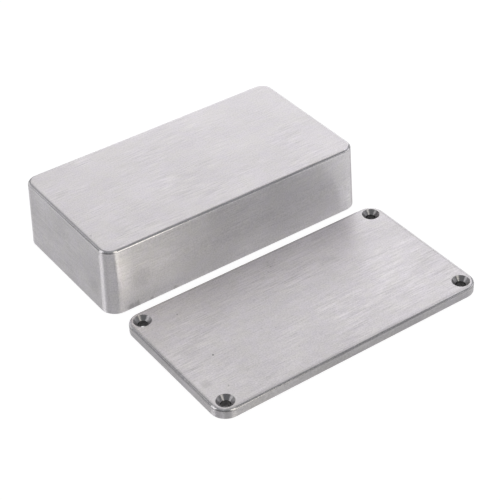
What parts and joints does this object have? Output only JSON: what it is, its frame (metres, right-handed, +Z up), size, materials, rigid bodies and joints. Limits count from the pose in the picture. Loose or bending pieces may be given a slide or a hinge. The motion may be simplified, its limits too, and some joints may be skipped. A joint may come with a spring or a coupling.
{
  "type": "diecast aluminium enclosure",
  "caption": "Rectangular diecast metal case with drafted walls and corner screw bosses, its countersunk flat lid lying beside it outer face up.",
  "frame": {"origin": "centre of the case body's open rim, on the surface it stands on", "axes": "+X along the length, +Y from the lid towards the case body, +Z up out of the case's closed face"},
  "size_m": [0.112, 0.1295, 0.027],
  "materials": {
    "body_metal": "bare casting, brushed along its length on the outside, as cast inside",
    "lid_metal": "bare casting, brushed along its length on the outside, as cast underneath, machined countersinks"
  },
  "bodies": {
    "root": {"case_body": "body_metal", "lid": "lid_metal"}
  },
  "joints": []
}
